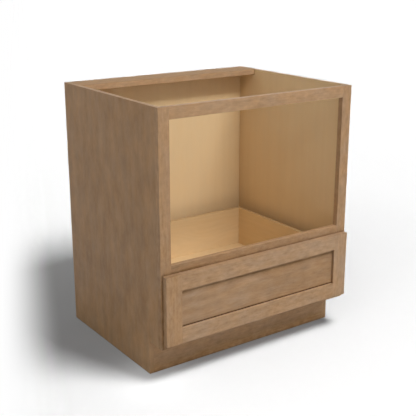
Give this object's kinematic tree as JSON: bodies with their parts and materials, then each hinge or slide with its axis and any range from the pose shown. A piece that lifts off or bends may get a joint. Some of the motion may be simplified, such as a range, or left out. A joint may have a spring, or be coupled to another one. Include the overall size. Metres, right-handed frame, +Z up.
{
  "type": "microwave cabinet",
  "caption": "Framed wooden base cabinet with an open bay for a microwave oven above a deep full-extension drawer and a recessed toe space.",
  "frame": {"origin": "middle of the footprint with the drawer closed, on the floor", "axes": "+Z up, -Y the front with the bay and the drawer, +X to the right of a person who faces the front"},
  "size_m": [0.762, 0.631, 0.8763],
  "materials": {
    "stained_maple": "light brown stain under satin lacquer, soft mottled figure",
    "natural_maple": "clear satin lacquer",
    "zinc_steel": "bright zinc plating, folded sheet",
    "ball_steel": "polished",
    "screw_steel": "zinc plating",
    "clear_rubber": "soft clear, matt",
    "black_plastic": "moulded, fine matt texture"
  },
  "bodies": {
    "cabinet": {"left_side_panel": "stained_maple", "right_side_panel": "stained_maple", "back_panel": "natural_maple", "bottom_panel": "natural_maple", "toe_board": "stained_maple", "rear_top_rail": "stained_maple", "left_stile": "stained_maple", "right_stile": "stained_maple", "top_rail": "stained_maple", "middle_rail": "stained_maple", "bottom_rail": "stained_maple", "left_cleat": "natural_maple", "right_cleat": "natural_maple", "cleat_screws": "screw_steel", "left_slide_outer": "zinc_steel", "right_slide_outer": "zinc_steel", "slide_screws_cabinet": "screw_steel"},
    "drawer": {"left_slide_inner": "zinc_steel", "right_slide_inner": "zinc_steel", "left_release_lever": "black_plastic", "right_release_lever": "black_plastic", "slide_screws_drawer": "screw_steel", "box_left_side": "natural_maple", "box_right_side": "natural_maple", "box_front": "natural_maple", "box_back": "natural_maple", "drawer_bottom": "natural_maple", "front_left_stile": "stained_maple", "front_right_stile": "stained_maple", "front_top_rail": "stained_maple", "front_bottom_rail": "stained_maple", "front_panel": "stained_maple", "front_screws": "screw_steel", "bumpers": "clear_rubber"},
    "left_middle": {"left_slide_middle": "zinc_steel"},
    "left_outer_race": {"left_outer_cage": "zinc_steel", "left_outer_balls": "ball_steel"},
    "left_inner_race": {"left_inner_cage": "zinc_steel", "left_inner_balls": "ball_steel"},
    "right_middle": {"right_slide_middle": "zinc_steel"},
    "right_outer_race": {"right_outer_cage": "zinc_steel", "right_outer_balls": "ball_steel"},
    "right_inner_race": {"right_inner_cage": "zinc_steel", "right_inner_balls": "ball_steel"}
  },
  "joints": [
    {"name": "drawer_slide", "type": "slide", "parent": "cabinet", "child": "drawer", "axis": [0, -1, 0], "range_m": [0, 0.508]},
    {"name": "left_middle_slide", "type": "slide", "parent": "cabinet", "child": "left_middle", "axis": [0, -1, 0], "range_m": [0, 0.254]},
    {"name": "left_outer_race_slide", "type": "slide", "parent": "cabinet", "child": "left_outer_race", "axis": [0, -1, 0], "range_m": [0, 0.127]},
    {"name": "left_inner_race_slide", "type": "slide", "parent": "cabinet", "child": "left_inner_race", "axis": [0, -1, 0], "range_m": [0, 0.381]},
    {"name": "right_middle_slide", "type": "slide", "parent": "cabinet", "child": "right_middle", "axis": [0, -1, 0], "range_m": [0, 0.254]},
    {"name": "right_outer_race_slide", "type": "slide", "parent": "cabinet", "child": "right_outer_race", "axis": [0, -1, 0], "range_m": [0, 0.127]},
    {"name": "right_inner_race_slide", "type": "slide", "parent": "cabinet", "child": "right_inner_race", "axis": [0, -1, 0], "range_m": [0, 0.381]}
  ],
  "couplings": [
    {"joint": "left_middle_slide", "follows": "drawer_slide", "ratio": 0.5},
    {"joint": "left_outer_race_slide", "follows": "drawer_slide", "ratio": 0.25},
    {"joint": "left_inner_race_slide", "follows": "drawer_slide", "ratio": 0.75},
    {"joint": "right_middle_slide", "follows": "drawer_slide", "ratio": 0.5},
    {"joint": "right_outer_race_slide", "follows": "drawer_slide", "ratio": 0.25},
    {"joint": "right_inner_race_slide", "follows": "drawer_slide", "ratio": 0.75}
  ]
}
